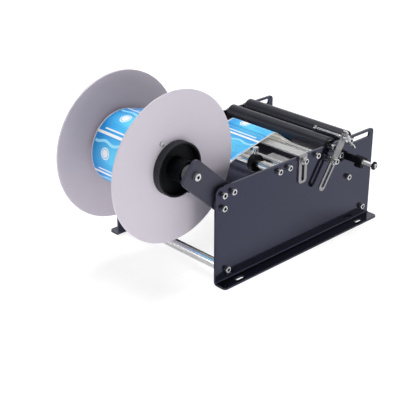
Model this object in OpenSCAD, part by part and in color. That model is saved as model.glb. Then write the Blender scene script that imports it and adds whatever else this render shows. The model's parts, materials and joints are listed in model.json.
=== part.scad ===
// Hand-driven roller labeling machine with a label reel behind it.
// x runs along the rollers, y from the reel to the hand slots, z up from the base.

/* [Frame] */
// Width over the outer faces of the two side plates
frame_w = 200; // [188:1:260]
// Thickness of the side plates' sheet
plate_t = 3; // [2:0.5:4]
// Length of each side plate
plate_l = 318; // [300:1:370]
// Height of each side plate
plate_h = 137; // [125:1:170]
// Radius of the rear top corner
rear_corner_r = 8; // [3:0.5:10]
// Radius of the front top corner
front_corner_r = 6; // [3:0.5:8]
// Inside radius of the bend between plate and foot
bend_r = 2; // [1:0.5:3]
// Reach of the foot from the plate's outer face
foot_w = 18; // [16:0.5:26]
// Radius of the foot's outer corners
foot_corner_r = 5; // [3:0.5:9]
// Length of a foot slot
foot_slot_l = 16; // [10:0.5:22]
// Width of a foot slot
foot_slot_w = 6; // [5:0.5:7]
// Distance of a foot slot's centre from the plate's outer face
foot_slot_out = 10; // [9:0.5:11]
// Distance of a foot slot's centre from the plate's end
foot_slot_in = 35; // [25:1:45]
// Length of the hand slot
hand_slot_l = 37; // [30:1:40]
// Height of the hand slot
hand_slot_h = 8; // [6:0.5:10]
// Radius of the hand slot's corners
hand_slot_r = 3; // [1:0.5:3]
// Height of the bar over the hand slot
hand_bar_h = 3.5; // [3:0.5:6]
// Width of the post in front of the hand slot
hand_post_w = 9; // [6:0.5:10]

/* [Fasteners] */
// Thread diameter of the cap screws
screw_d = 5; // [4:0.5:5.5]
// Head diameter of the cap screws
screw_head_d = 8.5; // [7.5:0.5:10]
// Head height of the cap screws
screw_head_h = 5; // [4:0.5:6]
// Width of the hexagon socket across its corners
socket_w = 5.2; // [4.6:0.1:5.6]
// Depth of the hexagon socket
socket_deep = 2.6; // [2:0.1:3]
// Depth of thread in the end of a rod
thread_deep = 12; // [8:1:16]
// Diameter of the washers under the clamp screws
washer_d = 11; // [10:0.5:13]
// Thickness of the washers
washer_t = 1; // [0.8:0.1:1.6]

/* [Cross rods] */
// Diameter of the lower tie rods
tie_d = 14; // [10:0.5:18]
// Height of the tie rods' axes
tie_up = 18; // [14:0.5:24]
// Distance of the rear tie rod from the rear edge
tie_rear = 19.5; // [14:0.5:26]
// Distance of the front tie rod from the front edge
tie_front = 18; // [14:0.5:26]
// Diameter of the web rods
web_rod_d = 10; // [8:0.5:11]
// Depth of the rear two web rods' axes under the plates' top edges
web_rod_drop = 9.3; // [8.5:0.1:12]
// Distance of the rear web rod behind the rear roller
rear_rod_back = 110; // [108:0.5:116]
// Distance of the middle web rod behind the rear roller
middle_rod_back = 90.6; // [88:0.1:93]
// Distance of the front web rod behind the rear roller
front_rod_back = 33.6; // [30:0.1:37]
// Depth of the front web rod's axis under the plates' top edges
front_rod_drop = 7.6; // [7:0.1:10]
// Diameter of the peel bar
peel_bar_d = 10; // [8:0.5:11]
// Distance of the peel bar ahead of the rear roller
peel_ahead = 17; // [16:0.5:19]
// Depth of the peel bar under the rollers' axes
peel_below = 16.2; // [15:0.1:18]

/* [Deck] */
// Thickness of the deck's sheet
deck_t = 1.5; // [1:0.1:2]
// Depth of the deck's top face under the plates' top edges
deck_drop = 6.5; // [6:0.1:8]
// Length of the deck along the web
deck_l = 12; // [8:0.5:13]
// Gap between the middle web rod and the deck's rear edge
deck_gap = 2; // [1:0.5:3]
// Reach of each half of the deck inside its plate
deck_reach = 42; // [36:1:48]
// Margin of the deck's ears round the middle web rod's screw
ear_margin = 6.5; // [6:0.1:8]

/* [Rollers] */
// Diameter of the two top rollers
roller_d = 25; // [22:0.5:27]
// Distance of the front roller's axis from the front edge
front_roller_in = 56; // [55:0.5:62]
// Distance between the two rollers' axes
roller_pitch = 37; // [35:0.5:41]
// Depth of the rollers' axes under the plates' top edges
roller_drop = 5; // [5:0.1:8]
// Gap between a roller's end and the side plate
roller_end_gap = 2; // [1:0.5:4]
// Diameter of the steel tube inside each roller
tube_d = 18; // [16:0.5:19]
// Wall of the steel tube
tube_wall = 2; // [1.5:0.1:2.5]
// Diameter of the fixed axles
axle_d = 8; // [7.5:0.5:9]
// Length of a roller's bush
bush_l = 10; // [6:1:16]
// Depth to which the tube's end stands back in the rubber
tube_back = 0.6; // [0.2:0.1:1]
// Chamfer on the rubber's ends
rubber_chamfer = 0.8; // [0.4:0.1:1.2]

/* [Drive] */
// Diameter of the drive roller
drive_d = 30; // [26:0.5:32]
// Distance of the drive shaft ahead of the front roller's axis
drive_ahead = 6; // [4:0.5:8]
// Diameter of the drive shaft
shaft_d = 7; // [6.5:0.5:7.5]
// Outside diameter of the drive bushes
drive_bush_d = 10.5; // [10:0.5:12]
// Diameter of the drive bushes' inner flanges
drive_flange_d = 18; // [15:0.5:20]
// Thickness of the drive bushes' inner flanges
drive_flange_t = 2; // [1.5:0.1:2.5]
// Reach of the right drive bush outside the plate
boss_out = 12; // [8:0.5:16]
// Length of the lobed hub
lobe_hub_l = 11; // [8:0.5:14]
// Radius over the hub's lobes
lobe_reach = 10; // [9:0.5:12]
// Radius of a lobe
lobe_r = 4; // [3:0.25:4.5]
// Number of lobes
lobe_count = 3; // [3:1:5]
// Diameter of the spindle outside the hub
spindle_d = 6; // [5:0.5:6.5]
// Length of the spindle outside the hub
spindle_l = 18; // [12:0.5:24]
// Diameter of the black washer at the spindle's end
spindle_washer_d = 12; // [10:0.5:14]
// Thickness of the black washer
spindle_washer_t = 1.5; // [1:0.1:2.5]
// Head diameter of the end screw
end_screw_d = 7; // [6:0.5:9]
// Head height of the end screw
end_screw_h = 3; // [2:0.5:4]
// Thread diameter of the end screw
end_thread_d = 3; // [2.5:0.5:4]
// Diameter of the retaining collar on the shaft's left end
shaft_collar_d = 16; // [13:0.5:18]
// Length of the retaining collar
shaft_collar_l = 7; // [5:0.5:9]
// Diameter of the pinch roller
pinch_d = 25; // [22:0.5:28]
// Distance of the pinch roller behind the drive shaft
pinch_back = 5; // [3:0.5:7]

/* [Reel] */
// Distance of the reel's axis behind the plates' rear edges
reel_back = 28; // [24:0.5:34]
// Height of the reel's axis over the plates' top edges
reel_up = 24.2; // [20:0.1:30]
// Diameter of the reel discs
disc_d = 200; // [170:1:230]
// Thickness of the reel discs
disc_t = 2.5; // [1.5:0.1:3]
// Width between the reel's rings
reel_w = 98; // [94:1:102]
// Width of the label roll
roll_w = 82; // [74:1:86]
// Diameter of the label roll
roll_d = 100; // [90:1:112]
// Bore of the cardboard core
core_bore = 76.2; // [74:0.1:79]
// Wall of the cardboard core
core_wall = 3; // [2:0.1:3.5]
// Diameter of the rings that carry the discs
ring_d = 94; // [92:0.5:96]
// Thickness of the rings
ring_t = 4; // [3:0.5:5]
// Gap between the core's ends and the rings
core_gap = 0.5; // [0.3:0.1:1]
// Diameter of the hub's outer cup
cup_d = 72; // [68:0.5:74]
// Height of the hub's outer cup over the disc
cup_h = 10; // [8:0.5:12]
// Wall of the hub's cup and spigot
cup_wall = 3; // [2.5:0.1:4]
// Thickness of the hub's floor
hub_floor_t = 3; // [2:0.1:4]
// Diameter of the hub's centre boss
boss_d = 31; // [28:0.5:36]
// Reach of the hub's spigot into the core
spigot_reach = 14; // [8:0.5:20]
// Outside diameter of the reel bearings
bearing_d = 22; // [21:0.5:23]
// Width of the reel bearings
bearing_w = 7; // [6:0.5:8]
// Radius of the disc screws' circle
disc_screw_r = 43; // [42:0.5:44]
// Number of screws in each disc
disc_screw_count = 2; // [2:1:6]
// Place of the first disc screw, from the front towards the top
disc_screw_angle = 120; // [90:5:150]
// Thread diameter of the disc screws
disc_thread_d = 3; // [2.5:0.5:3.5]
// Head diameter of the disc screws
disc_head_d = 6; // [5:0.5:7]
// Head height of the disc screws
disc_head_h = 2; // [1.5:0.1:2.5]
// Diameter of the spacers on the reel's axle
spacer_d = 12; // [11:0.5:15]
// Length of the spacers on the reel's axle
spacer_l = 7.2; // [5:0.1:10]
// Head diameter of the screws in the axle's ends
axle_head_d = 10; // [9:0.5:11]
// Head height of the screws in the axle's ends
axle_head_h = 6; // [5:0.5:7]

/* [Reel arms] */
// Thickness of a reel arm
arm_t = 5; // [4:0.5:5.5]
// Width of a reel arm
arm_w = 38; // [36:0.5:44]
// Length of a reel arm past the axle
arm_past = 13; // [10:0.5:18]
// Length of a reel arm past its last screws
arm_tail = 14; // [8:0.5:18]
// Radius of a reel arm's corners
arm_corner_r = 8; // [1:0.5:10]
// Height of the pads that hold a reel arm off its plate
arm_pad_h = 5; // [4:0.5:6]
// Diameter of the pads that hold a reel arm off its plate
arm_pad_d = 11; // [10:0.5:12]
// Distance of the first arm screws from the rear edge
arm_screw_in = 12; // [11:0.5:15]
// Depth of the upper arm screws under the top edge
arm_screw_drop = 11; // [10:0.5:13]
// Spacing of the upper arm screws
arm_screw_dy = 17; // [14:0.5:20]
// Spacing of the rear arm screws
arm_screw_dz = 18; // [14:0.5:20]

/* [Label web] */
// Thickness of the web
web_t = 0.4; // [0.3:0.1:0.6]
// Gap between the web and the surfaces it runs on
web_gap = 0.3; // [0.25:0.05:0.4]
// Length of the backing paper past the last nip
tail_l = 24; // [10:1:30]
// Distance that the slack web leaps forward off the roll
slack_out = 40; // [34:1:44]
// Drop of the slack web over that distance
slack_down = 10.5; // [8:0.5:14]
// Radius of the slack web's lower bend
sag_r = 14; // [11:0.5:16]
// Height of the lower bend's middle over the rear web rod's axis
sag_up = 9; // [7:0.5:12]
// Distance of the web's arch ahead of the guide strip's middle
arch_ahead = 16; // [14:0.5:18]
// Radius of the web's arch
arch_r = 9; // [8:0.5:10]

/* [Web collars] */
// Diameter of a web collar
collar_d = 24; // [20:0.5:26]
// Thickness of a web collar
collar_t = 8; // [7:0.5:10]
// Distance of a web collar's inner face from the middle of the frame
collar_in_x = 54; // [52:0.5:58]
// Thread diameter of the collar's thumb screw
thumb_thread_d = 4; // [3:0.5:4.5]
// Height of the thumb screw's stem over the collar
thumb_stem_h = 4.5; // [3:0.5:6]
// Head diameter of the thumb screw
thumb_head_d = 8; // [7:0.5:9]
// Head height of the thumb screw
thumb_head_h = 5.5; // [4:0.5:7]
// Number of flutes round the thumb screw's head
thumb_flutes = 16; // [12:1:20]
// Depth of a flute
flute_deep = 0.3; // [0.2:0.05:0.4]

/* [Guide strip] */
// Width of the guide strip along the web
strip_w = 16; // [14:0.5:18]
// Thickness of the guide strip
strip_t = 2; // [1.5:0.1:2.5]
// Distance of the strip's centre behind the rear roller
strip_back = 62.5; // [60:0.5:64]
// Length of the strip's end tabs, from its top face
strip_tab = 42; // [38:0.5:50]
// Radius of the tabs' lower corners
tab_corner_r = 5; // [2:0.5:6]
// Width of the slot in a tab
slot_w = 5.6; // [5.6:0.1:6]
// Travel of the strip
strip_travel = 27; // [20:0.5:28]
// Depth of the strip's clamp screws under the top edge
clamp_drop = 6.5; // [6:0.1:8]
// Gap between the strip's tabs and the plates
tab_gap = 0.3; // [0.2:0.05:0.5]

/* [Bottle stop] */
// Distance of the stop arm's clamp behind the rear roller's axis
stop_back = 7; // [6:0.5:9]
// Depth of the stop arm's clamp under the rollers' axes
stop_below = 15.3; // [14.5:0.1:17]
// Lean of the stop arm from upright, towards the front
stop_lean = 34.5; // [32:0.5:37]
// Width of the stop arm
stop_w = 12.5; // [12:0.5:14]
// Thickness of the stop arm
stop_t = 2; // [1.5:0.1:3]
// Length of the spacer under the stop arm
stop_spacer_l = 8.4; // [7:0.1:11]
// Diameter of the spacer
stop_spacer_d = 10; // [9:0.5:12]
// Length of the stop arm over its stop rod
stop_top = 7; // [6:0.5:9]
// Travel of the stop arm
stop_travel = 38; // [30:1:40]
// Length of the stop arm under its slot
stop_foot = 5; // [4:0.5:7]
// Height of the stop rod's axis over the rollers' tops
stop_rod_up = 0.9; // [0.8:0.1:3]
// Diameter of the stop rod
stop_rod_d = 4; // [3.5:0.5:4.5]
// Diameter of the stop rod's head
stop_head_d = 7; // [6:0.5:7.5]
// Length of the stop rod's head
stop_head_l = 4; // [3:0.5:6]
// Reach of the stop rod inside the frame, from the plate's outer face
stop_rod_in = 43; // [38:1:50]
// Reach of the stop rod outside the frame
stop_rod_out = 21; // [20:0.5:26]
// Diameter of the wing nut's hub
wing_hub_d = 10; // [9:0.5:11]
// Height of the wing nut's hub
wing_hub_h = 6; // [5:0.5:7]
// Reach of a wing from the nut's axis
wing_reach = 18; // [15:0.5:20]
// Height of a wing along the nut's axis
wing_h = 12; // [9:0.5:14]
// Thickness of a wing
wing_t = 2; // [1.5:0.1:2.5]
// Turn of the wing nut from upright
wing_turn = 35; // [0:5:90]

/* [Fits] */
// Radial clearance of turning and sliding rounds
run_gap = 0.05; // [0.02:0.01:0.08]
// Radial clearance of a screw in its thread
thread_gap = 0.05; // [0.03:0.01:0.08]
// Radial clearance of a screw through a sheet
hole_gap = 0.1; // [0.05:0.01:0.2]
// Radial clearance of parts seated in each other
seat_gap = 0.02; // [0.01:0.01:0.04]
// Gap between flat faces that slide
slide_gap = 0.1; // [0.05:0.01:0.2]
// Gap between ends that turn past each other
end_gap = 0.3; // [0.2:0.05:0.5]

/* [Hidden] */
$fn = 64;
corner_steps = 6;
arc_steps = 12;
least_step = 0.05;
under = 1;
over = -1;
cut_over = 1;
half_turn = 180;
full_turn = 360;
wrap_margin = 60;
socket_sides = 6;
head_chamfer = 0.5;
disc_chamfer = 0.4;
bearing_rim = 2;
bearing_dip = 0.4;
wing_root = 0.6;
wing_taper = 0.45;

half_w = frame_w / 2;
inner_x = half_w - plate_t;
foot_x = half_w + foot_w;

screw_r = screw_d / 2;
hole_r = screw_r + hole_gap;
tap_r = screw_r + thread_gap;
washer_r = washer_d / 2;

roller_r = roller_d / 2;
drive_r = drive_d / 2;
pinch_r = pinch_d / 2;
axle_r = axle_d / 2;
shaft_r = shaft_d / 2;
nip = web_t + 2 * web_gap;
front_roller = [plate_l - front_roller_in, plate_h - roller_drop];
rear_roller = front_roller - [roller_pitch, 0];
drive_fall = sqrt(pow(roller_r + nip + drive_r, 2) - pow(drive_ahead, 2));
drive_at = front_roller + [drive_ahead, -drive_fall];
pinch_fall = sqrt(pow(drive_r + nip + pinch_r, 2) - pow(pinch_back, 2));
pinch_at = drive_at - [pinch_back, pinch_fall];

rear_tie = [tie_rear, tie_up];
front_tie = [plate_l - tie_front, tie_up];
rear_rod = [rear_roller[0] - rear_rod_back, plate_h - web_rod_drop];
middle_rod = [rear_roller[0] - middle_rod_back, plate_h - web_rod_drop];
front_rod = [rear_roller[0] - front_rod_back, plate_h - front_rod_drop];
peel_bar_at = rear_roller + [peel_ahead, -peel_below];
web_rod_r = web_rod_d / 2;
peel_bar_r = peel_bar_d / 2;

deck_rear = middle_rod[0] + web_rod_r + deck_gap;
deck_top = plate_h - deck_drop;
deck_in_x = inner_x - deck_reach;

roller_half = inner_x - roller_end_gap;
tube_r = tube_d / 2;
tube_bore_r = tube_r - tube_wall;
tube_half = roller_half - tube_back;

shaft_left = -half_w - end_gap - shaft_collar_l - end_gap;
hub_start = half_w + boss_out + end_gap;
hub_end = hub_start + lobe_hub_l;
spindle_end = hub_end + spindle_l;
spindle_r = spindle_d / 2;
end_thread_deep = thread_deep / 2;
machine_end = spindle_end + spindle_washer_t + end_screw_h;

reel_at = [-reel_back, plate_h + reel_up];
disc_r = disc_d / 2;
roll_r = roll_d / 2;
core_r = core_bore / 2;
core_out_r = core_r + core_wall;
ring_in_x = reel_w / 2;
core_half = ring_in_x - core_gap;
disc_in_x = ring_in_x + ring_t;
disc_out_x = disc_in_x + disc_t;
arm_out_x = inner_x - arm_pad_h;
arm_in_x = arm_out_x - arm_t;
boss_x = arm_in_x - spacer_l - end_gap;
bearing_r = bearing_d / 2;

arm_screw_a = [arm_screw_in, plate_h - arm_screw_drop];
arm_screw_b = arm_screw_a + [arm_screw_dy, 0];
arm_screw_c = arm_screw_a - [0, arm_screw_dz];
arm_mid = (arm_screw_b + arm_screw_c) / 2;
arm_along = (arm_mid - reel_at) / norm(arm_mid - reel_at);
arm_across = [-arm_along[1], arm_along[0]];

strip_y = rear_roller[0] - strip_back;
strip_low = plate_h + end_gap;
strip_top = strip_low + strip_t;
strip_foot = strip_top - strip_tab;
tab_in_x = half_w + tab_gap;
tab_out_x = tab_in_x + strip_t;
clamp_at = [strip_y, plate_h - clamp_drop];
slot_r = slot_w / 2;
strip_edge_r = 0.5;

stop_at = rear_roller - [stop_back, stop_below];
stop_along = 90 - stop_lean;
stop_in_x = half_w + stop_spacer_l + slide_gap;
stop_out_x = stop_in_x + stop_t;
stop_rod_z = rear_roller[1] + roller_r + stop_rod_up;
stop_rod_t = (stop_rod_z - stop_at[1]) / sin(stop_along);
stop_rod_at = stop_at + stop_rod_t * [cos(stop_along), sin(stop_along)];
stop_rod_r = stop_rod_d / 2;
stop_low_t = -(stop_travel + slot_r + stop_foot);
stop_high_t = stop_rod_t + stop_top;

mid_x = (machine_end - foot_x) / 2;
mid_y = (plate_l + reel_at[0] - disc_r) / 2;

rod_screws = [rear_tie, front_tie, rear_rod, middle_rod, front_rod, peel_bar_at,
    rear_roller, front_roller, pinch_at];
arm_screw_places = [arm_screw_a, arm_screw_b, arm_screw_c];

// Unit vector along v
function unit(v) = v / norm(v);

// Angle folded into the half turns either side of zero
function fold(a) = (a + 3 * half_turn) % full_turn - half_turn;

// Points of the arc of radius r that rounds the corner b between a and c
function corner_arc(a, b, c, r) =
    let (u = unit(a - b), v = unit(c - b), half = acos(u * v) / 2,
        centre = b + unit(u + v) * r / sin(half),
        start = b + u * r / tan(half) - centre,
        stop = b + v * r / tan(half) - centre,
        first = atan2(start[1], start[0]),
        turn = fold(atan2(stop[1], stop[0]) - first))
    [for (i = [0:corner_steps]) centre + r * [cos(first + turn * i / corner_steps),
        sin(first + turn * i / corner_steps)]];

// Outline with each corner rounded by its own radius
function rounded(points, radii) = let (n = len(points)) [for (i = [0:n - 1]) each
    (radii[i] > 0 ? corner_arc(points[(i + n - 1) % n], points[i], points[(i + 1) % n], radii[i])
        : [points[i]])];

// Left-hand normal of a travel angle
function left(a) = [-sin(a), cos(a)];

// Travel angle of the straight run between two wrapped rounds, each [centre, radius, turn]
function run_angle(p, q) = let (d = q[0] - p[0])
    atan2(d[1], d[0]) - asin(max(-1, min(1, (q[2] * q[1] - p[2] * p[1]) / norm(d))));

// Place on a wrapped round at a travel angle, with that angle
function station(c, a) = [c[0] - c[2] * c[1] * left(a), a];

// Turn from one travel angle to the next, in the round's own sense
function wrap(c, from, to) =
    c[2] * ((c[2] * (to - from) + wrap_margin + full_turn) % full_turn - wrap_margin);

// Places without those that lie on the one before
function distinct(places) = [for (i = [0:len(places) - 1])
    if (i == 0 || norm(places[i][0] - places[max(0, i - 1)][0]) > least_step) places[i]];

// Places along a web that wraps the listed rounds one after another
function web_stations(rounds) = let (last = len(rounds) - 1,
        runs = [for (i = [0:last - 1]) run_angle(rounds[i], rounds[i + 1])])
    distinct(concat([station(rounds[0], runs[0])],
        [for (i = [1:last - 1]) let (turn = wrap(rounds[i], runs[i - 1], runs[i]))
            for (k = [0:arc_steps]) station(rounds[i], runs[i - 1] + turn * k / arc_steps)],
        [station(rounds[last], runs[last - 1])]));

// Outline of a web of thickness t along its places
function web_outline(places, t) = concat([for (p = places) p[0] + left(p[1]) * t / 2],
    [for (i = [len(places) - 1:-1:0]) places[i][0] - left(places[i][1]) * t / 2]);

// Round that the web wraps, at the radius of the web's middle
function web_round(centre, r, turn) = [centre, r + web_gap + web_t / 2, turn];

on_roll = web_round(reel_at, roll_r, over);
slack_bend = web_round(reel_at + [slack_out, -slack_down], roll_r, over);
sag_bend = web_round([slack_bend[0][0] + roll_r + sag_r + nip, rear_rod[1] + sag_up], sag_r, under);
on_rear_rod = web_round(rear_rod, web_rod_r, over);
arch_bend = web_round([strip_y + arch_ahead, strip_low], arch_r, over);
on_rear_roller = web_round(rear_roller, roller_r, under);
on_peel_bar = web_round(peel_bar_at, peel_bar_r, over);
on_front_roller = web_round(front_roller, roller_r, under);
on_drive = web_round(drive_at, drive_r, over);
on_pinch = web_round(pinch_at, pinch_r, under);
web_rounds = [on_roll, slack_bend, sag_bend, on_rear_rod, arch_bend, on_rear_roller, on_peel_bar];
paper_run = web_stations([on_rear_roller, on_peel_bar, on_front_roller, on_drive, on_pinch]);
paper_end = paper_run[len(paper_run) - 1];
paper_tail = [paper_end[0] + tail_l * [cos(paper_end[1]), sin(paper_end[1])], paper_end[1]];
paper_places = concat([for (i = [1:len(paper_run) - 1]) paper_run[i]], [paper_tail]);

// Moves the machine so that the middle of its base is the origin
module place() {
    translate([-mid_x, -mid_y, 0]) children();
}

// Puts a shape made round z onto the x line through a place in y and z
module at(x, p) {
    translate([x, p[0], p[1]]) rotate([0, 90, 0]) children();
}

// Sheet along x from an outline in y and z
module sheet_x(x, t) {
    translate([x, 0, 0]) rotate([90, 0, 90]) linear_extrude(t) children();
}

// Sheet along y from an outline in x and z
module sheet_y(y, l) {
    translate([0, y + l, 0]) rotate([90, 0, 0]) linear_extrude(l) children();
}

// The shape and its mirror image on the left side
module both() {
    children();
    mirror([1, 0, 0]) children();
}

// Round hole or pin along x, from x0 to x1
module bar_x(x0, x1, p, r) {
    at(x0, p) cylinder(h = x1 - x0, r = r);
}

// Stadium outline between two centres
module stadium(p, q, r) {
    d = unit(q - p);
    n = [-d[1], d[0]] * r;
    polygon([p + n, p - n, q - n, q + n]);
    translate(p) circle(r);
    translate(q) circle(r);
}

// Ring turned round the x line through a place
module ring_x(x0, x1, p, r_in, r_out) {
    difference() {
        bar_x(x0, x1, p, r_out);
        bar_x(x0 - cut_over, x1 + cut_over, p, r_in);
    }
}

// Cap screw with its head's seat at x, shank running inwards
module cap_screw(x, p, shank, head_d = screw_head_d, head_h = screw_head_h) {
    difference() {
        union() {
            bar_x(x - shank, x + cut_over, p, screw_r);
            bar_x(x, x + head_h - head_chamfer, p, head_d / 2);
            at(x + head_h - head_chamfer, p)
                cylinder(h = head_chamfer, r1 = head_d / 2, r2 = head_d / 2 - head_chamfer);
        }
        at(x + head_h - socket_deep, p)
            cylinder(h = socket_deep + cut_over, d = socket_w, $fn = socket_sides);
    }
}

// Rod between the plates with a tapped hole in each end
module tapped_rod(p, r, half_l) {
    difference() {
        bar_x(-half_l, half_l, p, r);
        bar_x(-half_l - cut_over, -half_l + thread_deep + cut_over, p, tap_r);
        bar_x(half_l - thread_deep - cut_over, half_l + cut_over, p, tap_r);
    }
}

// Right side plate with its foot; the stop's clamp hole is only in this one
module side_plate(stop_hole) {
    outer_bend = bend_r + plate_t;
    outline = rounded([[inner_x, plate_h], [inner_x, 0], [foot_x, 0], [foot_x, plate_t],
        [half_w, plate_t], [half_w, plate_h]], [0, outer_bend, 0, 0, bend_r, 0]);
    slot_y = plate_l - hand_post_w - hand_slot_l;
    slot_z = plate_h - hand_bar_h - hand_slot_h;
    difference() {
        sheet_y(0, plate_l) polygon(outline);
        sheet_x(inner_x - cut_over, plate_t + 2 * cut_over) {
            corner_cut([0, plate_h], [1, -1], rear_corner_r);
            corner_cut([plate_l, plate_h], [-1, -1], front_corner_r);
            polygon(rounded([[slot_y, slot_z], [slot_y + hand_slot_l, slot_z],
                [slot_y + hand_slot_l, slot_z + hand_slot_h], [slot_y, slot_z + hand_slot_h]],
                [hand_slot_r, hand_slot_r, hand_slot_r, hand_slot_r]));
        }
        translate([0, 0, -cut_over]) linear_extrude(plate_t + 2 * cut_over) {
            corner_cut([foot_x, 0], [-1, 1], foot_corner_r);
            corner_cut([foot_x, plate_l], [-1, -1], foot_corner_r);
        }
        for (y = [foot_slot_in, plate_l - foot_slot_in]) foot_slot(y);
        for (p = concat(rod_screws, arm_screw_places, [clamp_at]))
            bar_x(inner_x - cut_over, half_w + cut_over, p, hole_r);
        bar_x(inner_x - cut_over, half_w + cut_over, drive_at, drive_bush_d / 2 + seat_gap);
        if (stop_hole) bar_x(inner_x - cut_over, half_w + cut_over, stop_at, screw_r + run_gap);
    }
}

// Slot through the foot for a base bolt
module foot_slot(y) {
    reach = (foot_slot_l - foot_slot_w) / 2;
    x = half_w + foot_slot_out;
    translate([0, 0, -cut_over]) linear_extrude(plate_t + 2 * cut_over)
        stadium([x, y - reach], [x, y + reach], foot_slot_w / 2);
}

// What a corner of radius r at p leaves over; way points into the sheet
module corner_cut(p, way, r) {
    difference() {
        polygon([p - cut_over * way, [p[0] + r * way[0], p[1] - cut_over * way[1]],
            p + r * way, [p[0] - cut_over * way[0], p[1] + r * way[1]]]);
        translate(p + r * way) circle(r);
    }
}

module side_plate_right() color("#3c3d49") place() side_plate(true);

module side_plate_left() color("#3c3d49") place() mirror([1, 0, 0]) side_plate(false);

// Right reel arm, held off the inner face of the plate by a pad at each screw
module reel_arm() {
    reach = norm(arm_mid - reel_at) + arm_tail;
    rear = reel_at - arm_past * arm_along;
    front = reel_at + reach * arm_along;
    side = arm_across * arm_w / 2;
    difference() {
        union() {
            sheet_x(arm_in_x, arm_t)
                polygon(rounded([rear - side, front - side, front + side, rear + side],
                    [arm_corner_r, arm_corner_r, arm_corner_r, arm_corner_r]));
            for (p = arm_screw_places) bar_x(arm_in_x, inner_x, p, arm_pad_d / 2);
        }
        bar_x(arm_in_x - cut_over, arm_out_x + cut_over, reel_at, hole_r);
        for (p = arm_screw_places) bar_x(arm_in_x - cut_over, inner_x + cut_over, p, tap_r);
    }
}

module reel_arm_right() color("#3a3b46") place() reel_arm();

module reel_arm_left() color("#3a3b46") place() mirror([1, 0, 0]) reel_arm();

module arm_screws() color("#c9cbd0") place() both()
    for (p = arm_screw_places) cap_screw(half_w, p, plate_t + arm_pad_h + arm_t);

module reel_axle() color("#b9bcc2") place() tapped_rod(reel_at, axle_r, arm_in_x);

module axle_screws() color("#c9cbd0") place() both()
    cap_screw(arm_out_x, reel_at, arm_t + thread_deep, axle_head_d, axle_head_h);

module axle_spacers() color("#9a9da4") place() both()
    ring_x(boss_x + end_gap, arm_in_x, reel_at, axle_r + seat_gap, spacer_d / 2);

module rear_tie_rod() color("#d9dbdf") place() tapped_rod(rear_tie, tie_d / 2, inner_x);

module front_tie_rod() color("#d9dbdf") place() tapped_rod(front_tie, tie_d / 2, inner_x);

module rear_web_rod() color("#d9dbdf") place() tapped_rod(rear_rod, web_rod_r, inner_x);

module middle_web_rod() color("#d9dbdf") place() tapped_rod(middle_rod, web_rod_r, inner_x - deck_t);

module front_web_rod() color("#d9dbdf") place() tapped_rod(front_rod, web_rod_r, inner_x);

module peel_bar() color("#d9dbdf") place() tapped_rod(peel_bar_at, peel_bar_r, inner_x);

// Deck ear's outline in y and z
function ear_outline() = let (low = middle_rod[1] - ear_margin, high = middle_rod[1] + ear_margin,
        rear = middle_rod[0] - ear_margin, front = deck_rear + deck_l)
    [[rear, low], [front, low], [front, deck_top], [deck_rear, deck_top], [deck_rear, high], [rear, high]];

module web_deck() color("#cfd1d5") place() difference() {
    union() {
        both() translate([deck_in_x, deck_rear, deck_top - deck_t]) cube([deck_reach, deck_l, deck_t]);
        both() sheet_x(inner_x - deck_t, deck_t) polygon(ear_outline());
    }
    bar_x(-inner_x - cut_over, inner_x + cut_over, middle_rod, hole_r);
}

// Screws through one plate into the cross rods and axles
module frame_screws() {
    for (p = rod_screws) cap_screw(half_w, p, plate_t + thread_deep);
}

module frame_screws_right() color("#c9cbd0") place() frame_screws();

module frame_screws_left() color("#c9cbd0") place() mirror([1, 0, 0]) frame_screws();

module strip_screws() color("#c9cbd0") place() both()
    cap_screw(tab_out_x + slide_gap + washer_t, clamp_at, slide_gap + washer_t + strip_t + tab_gap + plate_t);

module strip_washers() color("#b4b7bd") place() both()
    ring_x(tab_out_x + slide_gap, tab_out_x + slide_gap + washer_t, clamp_at, screw_r + seat_gap, washer_r);

module rear_roller_axle() color("#b9bcc2") place() tapped_rod(rear_roller, axle_r, inner_x);

module front_roller_axle() color("#b9bcc2") place() tapped_rod(front_roller, axle_r, inner_x);

module pinch_roller_axle() color("#b9bcc2") place() tapped_rod(pinch_at, axle_r, inner_x);

// Right drive bush with its flange inside the plate
module drive_bush(reach) {
    difference() {
        union() {
            bar_x(inner_x - drive_flange_t, half_w + reach, drive_at, drive_bush_d / 2);
            bar_x(inner_x - drive_flange_t, inner_x, drive_at, drive_flange_d / 2);
        }
        bar_x(inner_x - drive_flange_t - cut_over, half_w + reach + cut_over, drive_at, shaft_r + run_gap);
    }
}

module drive_bush_right() color("#1d1e22") place() drive_bush(boss_out);

module drive_bush_left() color("#1d1e22") place() mirror([1, 0, 0]) drive_bush(0);

module label_web() color("#55b4ee") place()
    sheet_x(-core_half, roll_w) polygon(web_outline(web_stations(web_rounds), web_t));

module backing_paper() color("#efe9da") place()
    sheet_x(-core_half, roll_w) polygon(web_outline(paper_places, web_t));

// Right hub: spigot in the core, neck through the disc, outer cup and bearing boss
module reel_hub() {
    cup_r = cup_d / 2;
    spigot_r = core_r - seat_gap;
    seat_x = boss_x - bearing_w;
    floor_x = disc_out_x - hub_floor_t;
    bore_r = axle_r + cut_over;
    spigot_x = core_half - spigot_reach;
    profile = [[bore_r, floor_x], [spigot_r - cup_wall, floor_x], [spigot_r - cup_wall, spigot_x],
        [spigot_r, spigot_x], [spigot_r, disc_in_x], [cup_r, disc_in_x], [cup_r, disc_out_x + cup_h],
        [cup_r - cup_wall, disc_out_x + cup_h], [cup_r - cup_wall, disc_out_x],
        [boss_d / 2, disc_out_x], [boss_d / 2, boss_x], [bearing_r + seat_gap, boss_x],
        [bearing_r + seat_gap, seat_x], [bore_r, seat_x]];
    at(0, reel_at) rotate_extrude() polygon(profile);
}

module reel_hub_right() color("#202126") place() reel_hub();

module reel_hub_left() color("#202126") place() mirror([1, 0, 0]) reel_hub();

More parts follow.
